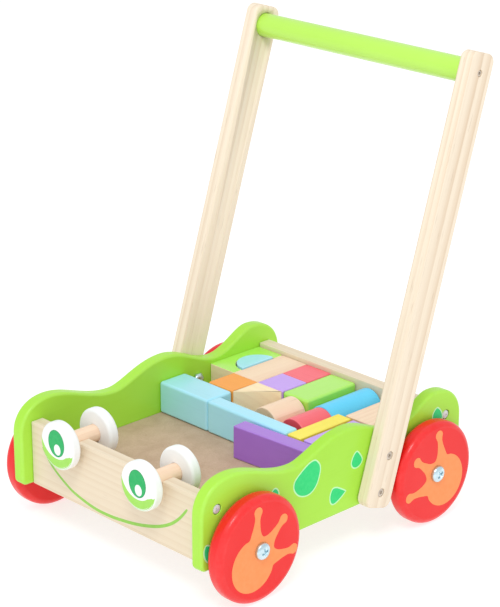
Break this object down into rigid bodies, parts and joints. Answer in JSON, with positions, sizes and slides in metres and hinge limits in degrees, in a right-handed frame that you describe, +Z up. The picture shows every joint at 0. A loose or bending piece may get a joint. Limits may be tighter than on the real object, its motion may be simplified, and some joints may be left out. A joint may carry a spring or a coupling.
{
  "type": "baby walker",
  "caption": "Wooden push-along baby walker: wavy side panels, leaning handle, red disc wheels, lift-out spool eyes in the front board, and a tray part filled with building blocks.",
  "frame": {"origin": "on the floor, under the middle of the whole walker's box", "axes": "+Z up; the walker's front, with the eyes, faces -Y; +X is to the right seen from the front; the wheels turn about X"},
  "size_m": [0.305, 0.3554, 0.4427],
  "materials": {
    "green_paint": "satin water-based paint, semi-gloss, wood edge slightly softened",
    "pine": "bare pale pine, sanded, thin clear coat",
    "hardboard": "smooth brown hardboard, matte",
    "red_paint": "semi-gloss red paint with an orange printed splayed foot shape",
    "zinc": "bright zinc-plated steel",
    "white_paint": "satin white paint; the two front discs carry a printed green eye",
    "light_blue_paint": "satin paint over fine wood grain",
    "bright_blue_paint": "satin paint over fine wood grain",
    "purple_paint": "satin paint over fine wood grain",
    "lilac_paint": "satin paint over fine wood grain",
    "coral_paint": "satin paint over fine wood grain",
    "orange_paint": "satin paint over fine wood grain",
    "yellow_paint": "satin paint over fine wood grain",
    "green_block_paint": "satin paint over fine wood grain, bare wood on the arch's cut sides",
    "bare_wood": "bare sanded hardwood, pale with a pink cast"
  },
  "bodies": {
    "frame": {"side_panel_right": "green_paint", "side_panel_left": "green_paint", "front_board": "pine", "rear_board": "pine", "floor_board": "hardboard", "handle_post_right": "pine", "handle_post_left": "pine", "handle_bar": "green_paint", "axle_bolt_front_right": "zinc", "axle_nut_front_right": "zinc", "panel_screw_front_right": "zinc", "axle_bolt_front_left": "zinc", "axle_nut_front_left": "zinc", "panel_screw_front_left": "zinc", "axle_bolt_rear_right": "zinc", "axle_nut_rear_right": "zinc", "panel_screw_rear_right": "zinc", "axle_bolt_rear_left": "zinc", "axle_nut_rear_left": "zinc", "panel_screw_rear_left": "zinc", "post_bolt_lower_right": "zinc", "post_nut_lower_right": "zinc", "post_bolt_upper_right": "zinc", "post_nut_upper_right": "zinc", "bar_bolt_right": "zinc", "post_bolt_lower_left": "zinc", "post_nut_lower_left": "zinc", "post_bolt_upper_left": "zinc", "post_nut_upper_left": "zinc", "bar_bolt_left": "zinc"},
    "wheel_front_right": {"wheel_front_right": "red_paint"},
    "wheel_front_left": {"wheel_front_left": "red_paint"},
    "wheel_rear_right": {"wheel_rear_right": "red_paint"},
    "wheel_rear_left": {"wheel_rear_left": "red_paint"},
    "eye_right": {"eye_axle_right": "bare_wood"},
    "eye_right_discs": {"eye_front_disc_right": "white_paint", "eye_rear_disc_right": "white_paint"},
    "eye_left": {"eye_axle_left": "bare_wood"},
    "eye_left_discs": {"eye_front_disc_left": "white_paint", "eye_rear_disc_left": "white_paint"},
    "light_blue_long": {"block_light_blue_long": "light_blue_paint"},
    "light_blue_plank": {"block_light_blue_plank": "light_blue_paint"},
    "purple_plank": {"block_purple_plank": "purple_paint"},
    "natural_long": {"block_natural_long": "bare_wood"},
    "orange_cube": {"block_orange_cube": "orange_paint"},
    "lilac_cube": {"block_lilac_cube": "lilac_paint"},
    "red_cube": {"block_red_cube": "coral_paint"},
    "green_long": {"block_green_long": "green_block_paint"},
    "yellow_plank": {"block_yellow_plank": "yellow_paint"},
    "lilac_plank": {"block_lilac_plank": "lilac_paint"},
    "natural_long_side": {"block_natural_long_side": "bare_wood"},
    "natural_cylinder": {"block_natural_cylinder": "bare_wood"},
    "red_cylinder": {"block_red_cylinder": "coral_paint"},
    "blue_cylinder": {"block_blue_cylinder": "bright_blue_paint"},
    "green_arch": {"block_green_arch": "green_block_paint"},
    "light_blue_half_round": {"block_light_blue_half_round": "light_blue_paint"},
    "natural_triangle": {"block_natural_triangle": "bare_wood"}
  },
  "joints": [
    {"name": "wheel_front_right_spin", "type": "hinge", "parent": "frame", "child": "wheel_front_right", "pos_m": [0.1385, -0.11558, 0.05], "axis": [1, 0, 0], "continuous": true},
    {"name": "wheel_front_left_spin", "type": "hinge", "parent": "frame", "child": "wheel_front_left", "pos_m": [-0.1385, -0.11558, 0.05], "axis": [1, 0, 0], "continuous": true},
    {"name": "wheel_rear_right_spin", "type": "hinge", "parent": "frame", "child": "wheel_rear_right", "pos_m": [0.1385, 0.11192, 0.05], "axis": [1, 0, 0], "continuous": true},
    {"name": "wheel_rear_left_spin", "type": "hinge", "parent": "frame", "child": "wheel_rear_left", "pos_m": [-0.1385, 0.11192, 0.05], "axis": [1, 0, 0], "continuous": true},
    {"name": "eye_right_lift", "type": "slide", "parent": "frame", "child": "eye_right", "axis": [0, 0, 1], "range_m": [0, 0.05]},
    {"name": "eye_right_turn", "type": "hinge", "parent": "eye_right", "child": "eye_right_discs", "pos_m": [0.0574, -0.14973, 0.1], "axis": [0, 1, 0], "continuous": true},
    {"name": "eye_left_lift", "type": "slide", "parent": "frame", "child": "eye_left", "axis": [0, 0, 1], "range_m": [0, 0.05]},
    {"name": "eye_left_turn", "type": "hinge", "parent": "eye_left", "child": "eye_left_discs", "pos_m": [-0.0574, -0.14593, 0.1], "axis": [0, 1, 0], "continuous": true},
    {"name": "light_blue_long_lift", "type": "slide", "parent": "frame", "child": "light_blue_long", "axis": [0, 0, 1], "range_m": [0, 0.12]},
    {"name": "light_blue_plank_lift", "type": "slide", "parent": "frame", "child": "light_blue_plank", "axis": [0, 0, 1], "range_m": [0, 0.12]},
    {"name": "purple_plank_lift", "type": "slide", "parent": "frame", "child": "purple_plank", "axis": [0, 0, 1], "range_m": [0, 0.12]},
    {"name": "natural_long_lift", "type": "slide", "parent": "frame", "child": "natural_long", "axis": [0, 0, 1], "range_m": [0, 0.12]},
    {"name": "orange_cube_lift", "type": "slide", "parent": "frame", "child": "orange_cube", "axis": [0, 0, 1], "range_m": [0, 0.12]},
    {"name": "lilac_cube_lift", "type": "slide", "parent": "frame", "child": "lilac_cube", "axis": [0, 0, 1], "range_m": [0, 0.12]},
    {"name": "red_cube_lift", "type": "slide", "parent": "frame", "child": "red_cube", "axis": [0, 0, 1], "range_m": [0, 0.12]},
    {"name": "green_long_lift", "type": "slide", "parent": "frame", "child": "green_long", "axis": [0, 0, 1], "range_m": [0, 0.12]},
    {"name": "yellow_plank_lift", "type": "slide", "parent": "frame", "child": "yellow_plank", "axis": [0, 0, 1], "range_m": [0, 0.12]},
    {"name": "lilac_plank_lift", "type": "slide", "parent": "frame", "child": "lilac_plank", "axis": [0, 0, 1], "range_m": [0, 0.12]},
    {"name": "natural_long_side_lift", "type": "slide", "parent": "frame", "child": "natural_long_side", "axis": [0, 0, 1], "range_m": [0, 0.12]},
    {"name": "natural_cylinder_lift", "type": "slide", "parent": "frame", "child": "natural_cylinder", "axis": [0, 0, 1], "range_m": [0, 0.12]},
    {"name": "red_cylinder_lift", "type": "slide", "parent": "frame", "child": "red_cylinder", "axis": [0, 0, 1], "range_m": [0, 0.12]},
    {"name": "blue_cylinder_lift", "type": "slide", "parent": "frame", "child": "blue_cylinder", "axis": [0, 0, 1], "range_m": [0, 0.12]},
    {"name": "green_arch_lift", "type": "slide", "parent": "frame", "child": "green_arch", "axis": [0, 0, 1], "range_m": [0, 0.12]},
    {"name": "light_blue_half_round_lift", "type": "slide", "parent": "frame", "child": "light_blue_half_round", "axis": [0, 0, 1], "range_m": [0, 0.12]},
    {"name": "natural_triangle_lift", "type": "slide", "parent": "frame", "child": "natural_triangle", "axis": [0, 0, 1], "range_m": [0, 0.12]}
  ]
}
